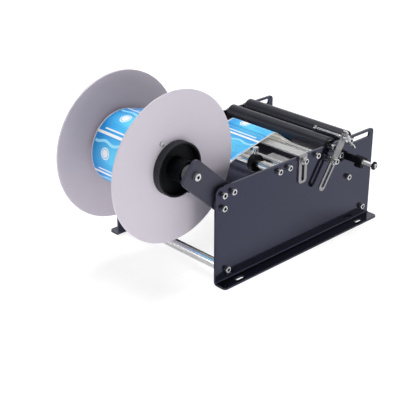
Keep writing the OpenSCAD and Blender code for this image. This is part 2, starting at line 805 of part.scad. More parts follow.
// Places of one disc's screws in y and z
function disc_screw_places() = [for (i = [0:disc_screw_count - 1])
    let (a = disc_screw_angle + full_turn * i / disc_screw_count) reel_at + disc_screw_r * [cos(a), sin(a)]];

// Right ring that the disc is screwed to
module disc_ring() {
    difference() {
        ring_x(ring_in_x, disc_in_x, reel_at, core_r, ring_d / 2);
        for (p = disc_screw_places()) bar_x(ring_in_x - cut_over, disc_in_x + cut_over, p,
            disc_thread_d / 2 + thread_gap);
    }
}

module disc_ring_right() color("#a9a7ad") place() disc_ring();

module disc_ring_left() color("#a9a7ad") place() mirror([1, 0, 0]) disc_ring();

// Right reel disc
module reel_disc() {
    hole = cup_d / 2 + seat_gap;
    profile = [[hole, disc_in_x], [disc_r - disc_chamfer, disc_in_x], [disc_r, disc_in_x + disc_chamfer],
        [disc_r, disc_out_x - disc_chamfer], [disc_r - disc_chamfer, disc_out_x], [hole, disc_out_x]];
    difference() {
        at(0, reel_at) rotate_extrude() polygon(profile);
        for (p = disc_screw_places()) bar_x(disc_in_x - cut_over, disc_out_x + cut_over, p,
            disc_thread_d / 2 + hole_gap);
    }
}

module reel_disc_right() color("#c6c3ca") place() reel_disc();

module reel_disc_left() color("#c6c3ca") place() mirror([1, 0, 0]) reel_disc();

module disc_screws() color("#9a9da4") place() both() for (p = disc_screw_places()) {
    bar_x(disc_out_x, disc_out_x + disc_head_h, p, disc_head_d / 2);
    bar_x(ring_in_x, disc_out_x, p, disc_thread_d / 2);
}

// Right ball bearing, with its shields set back between the rings
module reel_bearing() {
    inner_r = axle_r + run_gap;
    x0 = boss_x - bearing_w;
    profile = [[inner_r, x0], [bearing_r, x0], [bearing_r, boss_x], [bearing_r - bearing_rim, boss_x],
        [bearing_r - bearing_rim, boss_x - bearing_dip], [inner_r + bearing_rim, boss_x - bearing_dip],
        [inner_r + bearing_rim, boss_x], [inner_r, boss_x]];
    at(0, reel_at) rotate_extrude() polygon(profile);
}

module reel_bearing_right() color("#c2c4c8") place() reel_bearing();

module reel_bearing_left() color("#c2c4c8") place() mirror([1, 0, 0]) reel_bearing();

module label_core() color("#b08d5f") place()
    ring_x(-core_half, core_half, reel_at, core_r, core_out_r);

module label_roll() color("#55b4ee") place()
    ring_x(-core_half, roll_w - core_half, reel_at, core_out_r + seat_gap, roll_r);

// Rubber cover of a roller
module rubber(p, r) {
    bore = tube_r + seat_gap;
    profile = [[bore, -roller_half], [r - rubber_chamfer, -roller_half],
        [r, -roller_half + rubber_chamfer], [r, roller_half - rubber_chamfer],
        [r - rubber_chamfer, roller_half], [bore, roller_half]];
    at(0, p) rotate_extrude() polygon(profile);
}

// Steel tube of a roller
module tube(p) {
    ring_x(-tube_half, tube_half, p, tube_bore_r, tube_r);
}

// Plain bushes in both ends of a roller's tube
module bushes(p) {
    both() ring_x(tube_half - bush_l, tube_half, p, axle_r + run_gap, tube_bore_r - seat_gap);
}

module rear_roller_rubber() color("#26272b") place() rubber(rear_roller, roller_r);

module rear_roller_tube() color("#b9bcc2") place() tube(rear_roller);

module rear_roller_bushes() color("#e4e2da") place() bushes(rear_roller);

module front_roller_rubber() color("#26272b") place() rubber(front_roller, roller_r);

module front_roller_tube() color("#b9bcc2") place() tube(front_roller);

module front_roller_bushes() color("#e4e2da") place() bushes(front_roller);

module pinch_roller_rubber() color("#26272b") place() rubber(pinch_at, pinch_r);

module pinch_roller_tube() color("#b9bcc2") place() tube(pinch_at);

module pinch_roller_bushes() color("#e4e2da") place() bushes(pinch_at);

module drive_shaft() color("#c2c4c8") place() difference() {
    union() {
        bar_x(shaft_left, hub_end, drive_at, shaft_r);
        bar_x(hub_end - cut_over, spindle_end, drive_at, spindle_r);
        bar_x(-half_w - end_gap - shaft_collar_l, -half_w - end_gap, drive_at, shaft_collar_d / 2);
    }
    bar_x(spindle_end - end_thread_deep - cut_over, spindle_end + cut_over, drive_at,
        end_thread_d / 2 + thread_gap);
}

module drive_roller_rubber() color("#26272b") place() {
    half_l = inner_x - drive_flange_t - end_gap;
    bore = shaft_r + seat_gap;
    profile = [[bore, -half_l], [drive_r - rubber_chamfer, -half_l], [drive_r, -half_l + rubber_chamfer],
        [drive_r, half_l - rubber_chamfer], [drive_r - rubber_chamfer, half_l], [bore, half_l]];
    at(0, drive_at) rotate_extrude() polygon(profile);
}

module drive_hub() color("#1d1e22") place() difference() {
    union() {
        bar_x(hub_start, hub_end, drive_at, lobe_reach - lobe_r);
        for (i = [0:lobe_count - 1]) {
            a = full_turn * i / lobe_count;
            bar_x(hub_start, hub_end, drive_at + (lobe_reach - lobe_r) * [cos(a), sin(a)], lobe_r);
        }
    }
    bar_x(hub_start - cut_over, hub_end + cut_over, drive_at, shaft_r + seat_gap);
}

module spindle_washer() color("#1d1e22") place()
    ring_x(spindle_end, spindle_end + spindle_washer_t, drive_at,
        end_thread_d / 2 + seat_gap, spindle_washer_d / 2);

module spindle_screw() color("#c9cbd0") place() difference() {
    union() {
        bar_x(spindle_end - end_thread_deep, machine_end - end_screw_h, drive_at, end_thread_d / 2);
        bar_x(machine_end - end_screw_h, machine_end, drive_at, end_screw_d / 2);
    }
    at(machine_end - end_screw_h / 2, drive_at)
        cylinder(h = end_screw_h, d = end_thread_d, $fn = socket_sides);
}

// Outline of the strip across the machine, in x and z
function strip_outline() = [[-tab_out_x, strip_foot], [-tab_out_x, strip_top], [tab_out_x, strip_top],
    [tab_out_x, strip_foot], [tab_in_x, strip_foot], [tab_in_x, strip_low], [-tab_in_x, strip_low],
    [-tab_in_x, strip_foot]];

module guide_strip() color("#cfd1d5") place() {
    bend = strip_t + strip_edge_r;
    rear = strip_y - strip_w / 2;
    front = strip_y + strip_w / 2;
    span = 2 * (tab_out_x + cut_over);
    difference() {
        sheet_y(rear, strip_w) polygon(rounded(strip_outline(),
            [0, bend, bend, 0, 0, strip_edge_r, strip_edge_r, 0]));
        sheet_x(-tab_out_x - cut_over, span) {
            stadium(clamp_at + [0, slide_gap], clamp_at - [0, strip_travel + slide_gap], slot_r);
            corner_cut([rear, strip_foot], [1, 1], tab_corner_r);
            corner_cut([front, strip_foot], [-1, 1], tab_corner_r);
        }
    }
}

// Right web collar on the rear web rod, with its thumb screw's hole
module web_collar() {
    difference() {
        bar_x(collar_in_x, collar_in_x + collar_t, rear_rod, collar_d / 2);
        bar_x(collar_in_x - cut_over, collar_in_x + collar_t + cut_over, rear_rod, web_rod_r + run_gap);
        translate([collar_in_x + collar_t / 2, rear_rod[0], rear_rod[1]])
            cylinder(h = collar_d, r = thumb_thread_d / 2 + run_gap);
    }
}

// Thumb screw over the right collar; its head is fluted
module thumb_screw() {
    base = web_rod_r + end_gap;
    neck = collar_d / 2 + thumb_stem_h;
    head = [for (i = [0:2 * thumb_flutes - 1])
        let (a = half_turn * i / thumb_flutes, r = thumb_head_d / 2 - (i % 2) * flute_deep)
            r * [cos(a), sin(a)]];
    translate([collar_in_x + collar_t / 2, rear_rod[0], rear_rod[1]]) {
        translate([0, 0, base]) cylinder(h = neck - base + cut_over, r = thumb_thread_d / 2);
        translate([0, 0, neck]) linear_extrude(thumb_head_h) polygon(head);
    }
}

module web_collar_right() color("#202126") place() web_collar();

module web_collar_left() color("#202126") place() mirror([1, 0, 0]) web_collar();

module thumb_screw_right() color("#c2c4c8") place() thumb_screw();

module thumb_screw_left() color("#c2c4c8") place() mirror([1, 0, 0]) thumb_screw();

// Spacer, washer and screw that the stop arm turns with
module stop_clamp() color("#c9cbd0") place() {
    washer_x = stop_out_x + slide_gap;
    bar_x(half_w + slide_gap, half_w + stop_spacer_l, stop_at, stop_spacer_d / 2);
    bar_x(washer_x, washer_x + washer_t, stop_at, washer_r);
    cap_screw(washer_x + washer_t, stop_at, washer_x + washer_t - inner_x);
}

// Moves a shape drawn along y to the stop arm's lean
module lean() {
    translate([0, stop_at[0], stop_at[1]]) rotate([stop_along, 0, 0]) children();
}

module stop_arm() color("#cfd1d5") place() difference() {
    lean() sheet_x(stop_in_x, stop_t) difference() {
        stadium([stop_low_t + stop_w / 2, 0], [stop_high_t - stop_w / 2, 0], stop_w / 2);
        stadium([-stop_travel - slide_gap, 0], [slide_gap, 0], slot_r);
    }
    bar_x(stop_in_x - cut_over, stop_out_x + cut_over, stop_rod_at, stop_rod_r + run_gap);
}

module stop_rod() color("#d9dbdf") place() {
    head_x = half_w - stop_rod_in;
    bar_x(head_x, half_w + stop_rod_out, stop_rod_at, stop_rod_r);
    bar_x(head_x, head_x + stop_head_l, stop_rod_at, stop_head_d / 2);
}

// One wing's outline, outward and along the nut's axis
function wing_outline() = [[stop_rod_r + wing_root, 0], [wing_hub_d / 2 + wing_root, 0],
    [wing_reach, wing_h * wing_taper], [wing_reach, wing_h], [wing_reach - wing_hub_d / 2, wing_h],
    [stop_rod_r + wing_root, wing_hub_h]];

module stop_wing_nut() color("#c2c4c8") place() {
    seat = stop_out_x + slide_gap;
    difference() {
        bar_x(seat, seat + wing_hub_h, stop_rod_at, wing_hub_d / 2);
        bar_x(seat - cut_over, seat + wing_hub_h + cut_over, stop_rod_at, stop_rod_r + run_gap);
    }
    at(seat, stop_rod_at) for (a = [0, half_turn]) rotate([90, 0, a + wing_turn])
        translate([0, 0, -wing_t / 2]) linear_extrude(wing_t) polygon(wing_outline());
}

side_plate_right();
side_plate_left();
reel_arm_right();
reel_arm_left();
arm_screws();
reel_axle();
axle_screws();
axle_spacers();
rear_tie_rod();
front_tie_rod();
rear_web_rod();
middle_web_rod();
front_web_rod();
peel_bar();
web_deck();
frame_screws_right();
frame_screws_left();
strip_screws();
strip_washers();
rear_roller_axle();
front_roller_axle();
pinch_roller_axle();
drive_bush_right();
drive_bush_left();
label_web();
backing_paper();
reel_hub_right();
reel_hub_left();
disc_ring_right();
disc_ring_left();
reel_disc_right();
reel_disc_left();
disc_screws();
reel_bearing_right();
reel_bearing_left();
label_core();
label_roll();
rear_roller_rubber();
rear_roller_tube();
rear_roller_bushes();
front_roller_rubber();
front_roller_tube();
front_roller_bushes();
pinch_roller_rubber();
pinch_roller_tube();
pinch_roller_bushes();
drive_shaft();
drive_roller_rubber();
drive_hub();
spindle_washer();
spindle_screw();
guide_strip();
web_collar_right();
web_collar_left();
thumb_screw_right();
thumb_screw_left();
stop_clamp();
stop_arm();
stop_rod();
stop_wing_nut();
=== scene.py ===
"""Dresses a hand-driven roller labeling machine with its label reel.

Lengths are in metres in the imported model's frame: x along the rollers towards the drive spindle,
y from the reel to the hand slots, z up from the feet.
"""
import json
import math

import bmesh
import bpy
import numpy as np
from mathutils import Matrix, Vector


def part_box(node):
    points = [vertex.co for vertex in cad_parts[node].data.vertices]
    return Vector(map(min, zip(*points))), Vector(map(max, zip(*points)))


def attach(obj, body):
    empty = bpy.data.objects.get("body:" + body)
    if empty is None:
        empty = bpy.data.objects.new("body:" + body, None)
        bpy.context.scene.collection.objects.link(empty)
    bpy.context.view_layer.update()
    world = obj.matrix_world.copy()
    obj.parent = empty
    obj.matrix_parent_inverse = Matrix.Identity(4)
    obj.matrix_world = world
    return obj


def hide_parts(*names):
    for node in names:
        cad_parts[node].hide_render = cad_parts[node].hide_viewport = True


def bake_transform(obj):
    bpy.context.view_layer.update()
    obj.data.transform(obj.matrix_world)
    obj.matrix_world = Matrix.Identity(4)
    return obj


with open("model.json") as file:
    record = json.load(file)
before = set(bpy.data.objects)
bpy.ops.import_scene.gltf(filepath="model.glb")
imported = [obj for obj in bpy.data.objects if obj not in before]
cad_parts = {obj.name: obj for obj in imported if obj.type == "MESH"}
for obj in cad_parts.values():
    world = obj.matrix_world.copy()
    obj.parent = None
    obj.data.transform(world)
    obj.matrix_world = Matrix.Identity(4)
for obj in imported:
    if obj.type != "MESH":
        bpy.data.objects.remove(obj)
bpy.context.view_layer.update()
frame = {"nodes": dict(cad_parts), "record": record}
nodes = frame["nodes"]
SLOT_OF = {part["node"]: part["material_slot"] for part in frame["record"]["subparts"]}
BODY_OF = {name: body for body, names in frame["record"]["behaviour"]["bodies"].items() for name in names}

MM = 0.001

# Labels and paper
LABEL_PITCH = 55 * MM
LABEL_GAP = 3.6 * MM
FIRST_GAP_ANGLE = math.radians(203)
PAPER_T = 0.16 * MM
WEB_CLEAR = 0.3 * MM
WEB_T = 0.4 * MM
TAIL_L = 24 * MM
ROLL_SHOULDER = 0.5 * MM
CORE_SEAT = 0.02 * MM

# The web's slack between the roll and the rear roller
ROLL_WRAP = 0.35
SLACK_OUT = 40 * MM
SLACK_DOWN = 10.5 * MM
SAG_R = 14 * MM
SAG_UP = 9 * MM
ARCH_AHEAD = 16 * MM
ARCH_R = 9 * MM

# Other sizes of the machine
STRIP_T = 2 * MM
THREAD_PITCH = 0.7 * MM
# Radius past which the hub is painted lighter grey: painted light on its rim.
CUP_PAINTED_RIM_R = 34.5 * MM

# Steps and limits of the meshes
MERGE = 0.001 * MM
ROUND_STEPS = 16
WEB_STEP = 4 * MM
WEB_COLUMNS = 13
TAIL_STEPS = 12
RIM_COLUMNS = 14
SHOULDER_STEPS = 5
REEL_STEPS = 192
FLATS_ANGLE = math.radians(0.5)
SHARP_ANGLE = math.radians(35)
BEVEL_ANGLE = math.radians(40)
BEVEL_STEPS = 3

# Inks and motifs of the labels
DEEP_BLUE = (0.010, 0.27, 0.70)
PALE_BLUE = (0.12, 0.63, 0.97)
WAVE_BLUE = (0.32, 0.74, 0.98)
RULE_BLUE = (0.02, 0.26, 0.62)
BADGE_WHITE = (0.84, 0.87, 0.90)
BADGE_BLUE = (0.06, 0.48, 0.90)
BAR_WHITE = (0.82, 0.87, 0.92)
PAPER_WHITE = (0.87, 0.88, 0.89)
BOUNCED_GREY = (0.42, 0.40, 0.41)
WAVE_RATE = 17.0
WAVE_RISE = 0.03
WAVE_V = 0.2
WAVE_HALF = 0.035
DOTS_ACROSS = 24.0
DOTS_ALONG = 17.0
DOT_R = 0.28
BADGE_AT = (0.33, 0.46)
RULES = ((0.70, 0.38), (0.745, 0.33), (0.79, 0.38))
RULE_HALF = 0.007

# Strengths and reach of the surroundings
SIDE_LIGHT = (0.04, 0.16)
FLAG_FOOT = (0.46, 0.58)
FLAG_HEAD = (0.74, 0.86)
FLAG_GLOSS = 0.16
REAR_GLOSS = 0.25
REAR_SPAN = (-0.6, -0.1)
FLOOR_REACH = 6.0
FLOOR_NEAR = 0.5
FLOOR_FAR = 1.6
FLOOR_GLOW = 1.25
FLOOR_GLOSS = 0.15
FLOOR_SEEN = 0.8
FLOOR_SHADE = (0.36, 0.36, 0.37)
FLOOR_MIRRORED = (0.86, 0.86, 0.87)
SENSOR_W = 36
VIEW_END = 50


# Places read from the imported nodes

def span(name, axis):
    """Lowest and highest value of a node along one axis."""
    low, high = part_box(name)
    return low[axis], high[axis]


def centre(name):
    """Middle of a node's box in y and z, as an array."""
    low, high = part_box(name)
    return np.array([(low.y + high.y) / 2, (low.z + high.z) / 2])


def half_height(name):
    """Half of a node's height: the radius of a round node that lies along x."""
    low, high = span(name, 2)
    return (high - low) / 2


ROLL_AXIS = centre("label_roll")
ROLL_R = half_height("label_roll")
ROLL_X = span("label_roll", 0)
ROLL_W = ROLL_X[1] - ROLL_X[0]
FRAME_HALF = (span("guide_strip", 0)[1] - span("guide_strip", 0)[0]) / 2 - STRIP_T
FRAME_X = (span("guide_strip", 0)[1] + span("guide_strip", 0)[0]) / 2


# Camera

def aimed(place, right, up, back):
    """Matrix of a camera or lamp at a place, from its three unit directions."""
    turn = np.eye(4)
    turn[:3, :] = np.column_stack([right, up, back, place])
    return Matrix(turn.tolist())


def look(place, azimuth, elevation, lens):
    """Camera at a place, level, turned to an azimuth and tilted down by an elevation.

    Its back points along (sin a cos e, -cos a cos e, sin e), and its right stays level.
    """
    a, e = math.radians(azimuth), math.radians(elevation)
    back = np.array([math.sin(a) * math.cos(e), -math.cos(a) * math.cos(e), math.sin(e)])
    right = np.array([math.cos(a), math.sin(a), 0.0])
    data = bpy.data.cameras.new("camera")
    data.sensor_width = SENSOR_W
    data.lens = lens
    data.clip_end = VIEW_END
    camera = bpy.data.objects.new("camera", data)
    bpy.context.scene.collection.objects.link(camera)
    camera.matrix_world = aimed(place, right, np.cross(back, right), back)
    bpy.context.scene.camera = camera


look(place=(0.88428, -0.88064, 0.64354), azimuth=46.47, elevation=24.93, lens=89.11)


# Shader nodes

def node(tree, kind, settings=None, **values):
    """New node in a tree; settings are its properties, values its unlinked inputs by name."""
    made = tree.nodes.new(kind)
    for key, value in (settings or {}).items():
        setattr(made, key, value)
    for key, value in values.items():
        made.inputs[key.replace("_", " ")].default_value = value
    return made


def fed(tree, socket, value):
    """Sets a socket from a number or a colour, or links it to another socket."""
    if isinstance(value, (int, float)):
        socket.default_value = value
    elif isinstance(value, tuple):
        socket.default_value = (*value, 1)
    else:
        tree.links.new(value, socket)


def maths(tree, kind, *operands):
    """Math node whose operands are numbers or sockets; returns its result."""
    made = node(tree, "ShaderNodeMath", {"operation": kind})
    for socket, operand in zip(made.inputs, operands):
        fed(tree, socket, operand)
    return made.outputs[0]


def ranged(tree, value, low, high, start=0.0, end=1.0):
    """Value between start and end spread to low..high, each a number or a socket."""
    made = node(tree, "ShaderNodeMapRange", From_Min=start, From_Max=end)
    fed(tree, made.inputs["Value"], value)
    fed(tree, made.inputs["To Min"], low)
    fed(tree, made.inputs["To Max"], high)
    return made.outputs["Result"]


def distance(tree, first, second):
    """Root of the sum of two squares."""
    square = maths(tree, "MULTIPLY", second, second)
    return maths(tree, "SQRT", maths(tree, "MULTIPLY_ADD", first, first, square))


def blended(tree, factor, below, above):
    """Colour between two by a factor; each is three numbers or a socket."""
    mix = node(tree, "ShaderNodeMix", {"data_type": "RGBA"})
    colours = [socket for socket in mix.inputs if socket.type == "RGBA"]
    fed(tree, mix.inputs["Factor"], factor)
    fed(tree, colours[0], below)
    fed(tree, colours[1], above)
    return next(socket for socket in mix.outputs if socket.type == "RGBA")


def bumped(tree, shader, height, depth):
    """Bump of a depth in metres from a height into the shader's normal."""
    bump = node(tree, "ShaderNodeBump", Distance=depth, Strength=1.0)
    tree.links.new(height, bump.inputs["Height"])
    tree.links.new(bump.outputs["Normal"], shader.inputs["Normal"])


def split(tree, vector):
    """Outputs X, Y and Z of a vector."""
    parts = tree.nodes.new("ShaderNodeSeparateXYZ")
    tree.links.new(vector, parts.inputs[0])
    return parts.outputs


# Shader groups shared by several finishes

def group(name, inputs, outputs):
    """Empty shader node group with named sockets; returns it with its inner ends."""
    tree = bpy.data.node_groups.new(name, "ShaderNodeTree")
    for label, value in inputs.items():
        kind = "NodeSocketVector" if isinstance(value, tuple) else "NodeSocketFloat"
        tree.interface.new_socket(label, in_out="INPUT", socket_type=kind).default_value = value
    for label in outputs:
        tree.interface.new_socket(label, in_out="OUTPUT", socket_type="NodeSocketFloat")
    return tree, tree.nodes.new("NodeGroupInput").outputs, tree.nodes.new("NodeGroupOutput").inputs


def fine_grain_group():
    """Cloudy tone and fine pits: two noises, the coarse one as Tone, the fine one as Height."""
    tree, given, put = group("fine_grain", {
        "Vector": (0, 0, 0),
        "Cloud Scale": 30.0,
        "Pit Scale": 1500.0,
    }, ["Tone", "Height"])
    for scale, detail, output in (("Cloud Scale", 3.0, "Tone"), ("Pit Scale", 2.0, "Height")):
        noise = node(tree, "ShaderNodeTexNoise", Detail=detail, Roughness=0.55)
        tree.links.new(given["Vector"], noise.inputs["Vector"])
        tree.links.new(given[scale], noise.inputs["Scale"])
        tree.links.new(noise.outputs["Fac"], put[output])
    return tree


def drawn_lines_group():
    """Fine parallel lines: noise scaled by Stretch, small along the lines and large across them."""
    tree, given, put = group("drawn_lines", {"Vector": (0, 0, 0), "Stretch": (1, 1, 1)}, ["Tone"])
    scaled = node(tree, "ShaderNodeVectorMath", {"operation": "MULTIPLY"})
    tree.links.new(given["Vector"], scaled.inputs[0])
    tree.links.new(given["Stretch"], scaled.inputs[1])
    lines = node(tree, "ShaderNodeTexNoise", Scale=1.0, Detail=4.0, Roughness=0.65)
    tree.links.new(scaled.outputs["Vector"], lines.inputs["Vector"])
    tree.links.new(lines.outputs["Fac"], put["Tone"])
    return tree


def printed_box_group():
    """Mask of a rectangle on a label, with a soft edge.

    It is 1 where |u - u0| < half u and |v - v0| < half v.
    """
    tree, given, put = group("printed_box", {
        "U": 0.0,
        "V": 0.0,
        "U0": 0.5,
        "V0": 0.5,
        "Half U": 0.1,
        "Half V": 0.1,
        "Edge": 0.005,
    }, ["Mask"])
    sides = []
    for name in ("U", "V"):
        off = maths(tree, "ABSOLUTE", maths(tree, "SUBTRACT", given[name], given[name + "0"]))
        room = maths(tree, "DIVIDE", maths(tree, "SUBTRACT", given["Half " + name], off), given["Edge"])
        sides.append(ranged(tree, room, 0.0, 1.0))
    tree.links.new(maths(tree, "MULTIPLY", *sides), put["Mask"])
    return tree


def printed_ring_group():
    """Mask of a ring on a label, with a soft edge.

    It is 1 between two radii round (u0, v0), with u stretched to v's scale.
    """
    tree, given, put = group("printed_ring", {
        "U": 0.0,
        "V": 0.0,
        "U0": 0.5,
        "V0": 0.5,
        "Stretch": 1.0,
        "Inner": 0.0,
        "Outer": 0.1,
        "Edge": 0.008,
    }, ["Mask"])
    off_u = maths(tree, "MULTIPLY", maths(tree, "SUBTRACT", given["U"], given["U0"]), given["Stretch"])
    radius = distance(tree, off_u, maths(tree, "SUBTRACT", given["V"], given["V0"]))
    inside = maths(tree, "DIVIDE", maths(tree, "SUBTRACT", given["Outer"], radius), given["Edge"])
    outside = maths(tree, "DIVIDE", maths(tree, "SUBTRACT", radius, given["Inner"]), given["Edge"])
    tree.links.new(ranged(tree, maths(tree, "MINIMUM", inside, outside), 0.0, 1.0), put["Mask"])
    return tree


FINE_GRAIN = fine_grain_group()
DRAWN_LINES = drawn_lines_group()
PRINTED_BOX = printed_box_group()
PRINTED_RING = printed_ring_group()


def placed(tree, shared, links, **values):
    """Shared group placed in a material, with its own links and values; returns its outputs."""
    made = node(tree, "ShaderNodeGroup", {"node_tree": shared}, **values)
    for key, socket in links.items():
        tree.links.new(socket, made.inputs[key])
    return made.outputs


# Finishes

def finish(name, **sockets):
    """New material with its tree and shader; sockets are the shader's own constant values."""
    material = bpy.data.materials.new(name)
    material.use_nodes = True
    tree = material.node_tree
    shader = tree.nodes["Principled BSDF"]
    for key, value in sockets.items():
        shader.inputs[key.replace("_", " ")].default_value = value
    return material, tree, shader


def object_place(tree):
    """The piece's own coordinates, which are the machine's."""
    return tree.nodes.new("ShaderNodeTexCoord").outputs["Object"]


def grained(tree, cloud, pit):
    """Fine grain at a cloud and a pit scale on the piece's own coordinates."""
    return placed(tree, FINE_GRAIN, {"Vector": object_place(tree)}, Cloud_Scale=cloud, Pit_Scale=pit)


def lined(tree, stretch):
    """Drawn lines of a stretch on the piece's own coordinates."""
    return placed(tree, DRAWN_LINES, {"Vector": object_place(tree)}, Stretch=stretch)["Tone"]


def reel_radius(tree):
    """Distance from the reel's axis."""
    place = split(tree, object_place(tree))
    off_y = maths(tree, "SUBTRACT", place["Y"], float(ROLL_AXIS[0]))
    off_z = maths(tree, "SUBTRACT", place["Z"], float(ROLL_AXIS[1]))
    return distance(tree, off_y, off_z)


def reel_rings(tree, per_metre):
    """Lines round the reel's axis, so many to the metre of radius."""
    ringed = tree.nodes.new("ShaderNodeCombineXYZ")
    tree.links.new(reel_radius(tree), ringed.inputs["X"])
    return placed(tree, DRAWN_LINES, {"Vector": ringed.outputs[0]}, Stretch=(per_metre, 0, 0))["Tone"]


def toned(tree, shader, tone, dark, light, smooth, rough):
    """Base colour and roughness from one tone: dark to light, smooth to rough."""
    tree.links.new(blended(tree, tone, dark, light), shader.inputs["Base Color"])
    tree.links.new(ranged(tree, tone, smooth, rough), shader.inputs["Roughness"])


def black_enamel():
    """Stoved gloss black with a slight orange peel and a cold cast."""
    material, tree, shader = finish("black_enamel", Specular_IOR_Level=0.8,
                                    Specular_Tint=(0.54, 0.56, 1.0, 1))
    grain = grained(tree, cloud=9.0, pit=420.0)
    toned(tree, shader, grain["Tone"], dark=(0.001, 0.0014, 0.002), light=(0.004, 0.0048, 0.006),
          smooth=0.08, rough=0.16)
    bumped(tree, shader, grain["Height"], depth=0.02 * MM)
    return material


def satin_enamel():
    """Stoved satin black of the reel arms, with a blue-grey base colour that is a painted reflection of
    the plates' cold sheen.
    """
    material, tree, shader = finish("satin_enamel", Specular_IOR_Level=0.12)
    grain = grained(tree, cloud=14.0, pit=520.0)
    # The blue-grey base colour stands in for the gloss's reflected light: a painted reflection.
    toned(tree, shader, grain["Tone"], dark=(0.050, 0.050, 0.072), light=(0.062, 0.062, 0.089),
          smooth=0.38, rough=0.50)
    bumped(tree, shader, grain["Height"], depth=0.02 * MM)
    return material


def bright_chrome():
    """Plated rod: mirror metal with a faint cloudy bloom."""
    material, tree, shader = finish("bright_chrome", Metallic=1.0)
    grain = grained(tree, cloud=60.0, pit=900.0)
    toned(tree, shader, grain["Tone"], dark=(0.86, 0.86, 0.86), light=(0.92, 0.92, 0.92),
          smooth=0.18, rough=0.21)
    bumped(tree, shader, grain["Height"], depth=0.001 * MM)
    return material


def threaded_rod():
    """Bright rod with a thread past the plate: sine of x by the pitch and the angle round the rod."""
    material, tree, shader = finish("threaded_rod", Metallic=1.0)
    place = split(tree, object_place(tree))
    axis = centre("stop_rod")
    off_y = maths(tree, "SUBTRACT", place["Y"], float(axis[0]))
    off_z = maths(tree, "SUBTRACT", place["Z"], float(axis[1]))
    around = maths(tree, "ARCTAN2", off_z, off_y)
    turns = maths(tree, "MULTIPLY_ADD", place["X"], 2 * math.pi / THREAD_PITCH, around)
    wave = maths(tree, "SINE", turns)
    past = maths(tree, "GREATER_THAN", place["X"], span("side_plate_right", 0)[0])
    ridge = ranged(tree, maths(tree, "MULTIPLY", wave, past), 0.0, 1.0, -1.0, 1.0)
    shade = maths(tree, "MULTIPLY", lined(tree, (2200, 80, 80)), ranged(tree, ridge, 0.3, 1.7))
    toned(tree, shader, shade, dark=(0.46, 0.46, 0.48), light=(0.80, 0.80, 0.81),
          smooth=0.14, rough=0.28)
    bumped(tree, shader, ridge, depth=0.18 * MM)
    return material


def bright_steel():
    """Turned steel of screws, axles and bearings, with a fine grain, and painted shade that darkens its
    sockets and corners.
    """
    material, tree, shader = finish("bright_steel", Metallic=1.0)
    grain = grained(tree, cloud=160.0, pit=2600.0)
    # Occlusion darkens the colour in the sockets and in the corners by the plates: painted shade.
    socket_shade_occlusion = node(tree, "ShaderNodeAmbientOcclusion", {"samples": 8}, Distance=4 * MM).outputs["AO"]
    lit = ranged(tree, socket_shade_occlusion, 0.0, 1.0, 0.35, 0.8)
    tone = maths(tree, "MULTIPLY", ranged(tree, grain["Tone"], 0.7, 1.0), lit)
    toned(tree, shader, tone, dark=(0.02, 0.02, 0.022), light=(0.78, 0.78, 0.79),
          smooth=0.40, rough=0.24)
    bumped(tree, shader, grain["Height"], depth=0.01 * MM)
    return material


def satin_steel():
    """Ground steel of the reel bearings and the drive shaft, dull enough to take light from any side."""
    material, tree, shader = finish("satin_steel", Metallic=0.55)
    grain = grained(tree, cloud=160.0, pit=2600.0)
    toned(tree, shader, grain["Tone"], dark=(0.62, 0.62, 0.63), light=(0.80, 0.80, 0.81),
          smooth=0.34, rough=0.46)
    bumped(tree, shader, grain["Height"], depth=0.01 * MM)
    return material


def brushed_stainless(name, stretch):
    """Stainless flat bar with brush lines along one way of the sheet, and painted shade that darkens it
    past the plates.
    """
    material, tree, shader = finish(name, Metallic=1.0)
    lines = lined(tree, stretch)
    place = split(tree, object_place(tree))
    off = maths(tree, "ABSOLUTE", maths(tree, "SUBTRACT", place["X"], FRAME_X))
    # Past the plates the tone falls to 0.3: painted shade on the faces that stand out there.
    outside_painted_shade = ranged(tree, off, 1.0, 0.3, FRAME_HALF, FRAME_HALF + STRIP_T)
    tone = maths(tree, "MULTIPLY", lines, outside_painted_shade)
    toned(tree, shader, tone, dark=(0.24, 0.238, 0.24), light=(0.86, 0.855, 0.86),
          smooth=0.30, rough=0.46)
    bumped(tree, shader, lines, depth=0.010 * MM)
    return material


def disc_aluminium():
    """Satin grey disc: faint turning rings about the reel's axis over a cloudy tone."""
    material, tree, shader = finish("disc_aluminium", Metallic=0.1)
    rings = reel_rings(tree, 1500)
    clouds = maths(tree, "MULTIPLY", grained(tree, cloud=8.0, pit=3000.0)["Tone"], 0.7)
    tone = maths(tree, "MULTIPLY_ADD", rings, 0.3, clouds)
    toned(tree, shader, tone, dark=(0.56, 0.52, 0.59), light=(0.65, 0.605, 0.685),
          smooth=0.44, rough=0.58)
    bumped(tree, shader, rings, depth=0.01 * MM)
    return material


def moulded_plastic():
    """Black moulding with a fine spark-eroded grain."""
    material, tree, shader = finish("moulded_plastic", Specular_IOR_Level=0.12)
    grain = grained(tree, cloud=70.0, pit=1900.0)
    toned(tree, shader, grain["Tone"], dark=(0.002, 0.0025, 0.004), light=(0.006, 0.007, 0.010),
          smooth=0.42, rough=0.56)
    bumped(tree, shader, grain["Height"], depth=0.04 * MM)
    return material


def hub_moulding():
    """Black moulded hub with a fine grain, painted lighter grey outside its cup as a painted highlight on
    the rim, and near black inside the cup as painted shade.
    """
    material, tree, shader = finish("hub_moulding", Specular_IOR_Level=0.10)
    grain = grained(tree, cloud=70.0, pit=1900.0)
    # Lighter grey outside the cup's radius and near black inside it: painted highlight on the rim,
    # painted shade in the cup.
    rim_painted_light = ranged(tree, reel_radius(tree), 0.0, 1.0, CUP_PAINTED_RIM_R, CUP_PAINTED_RIM_R + MM)
    cloudy = ranged(tree, grain["Tone"], 0.7, 1.0)
    tone = maths(tree, "MULTIPLY", cloudy, ranged(tree, rim_painted_light, 0.08, 1.0))
    toned(tree, shader, tone, dark=(0.002, 0.0025, 0.004), light=(0.044, 0.045, 0.052),
          smooth=0.40, rough=0.56)
    bumped(tree, shader, grain["Height"], depth=0.04 * MM)
    return material


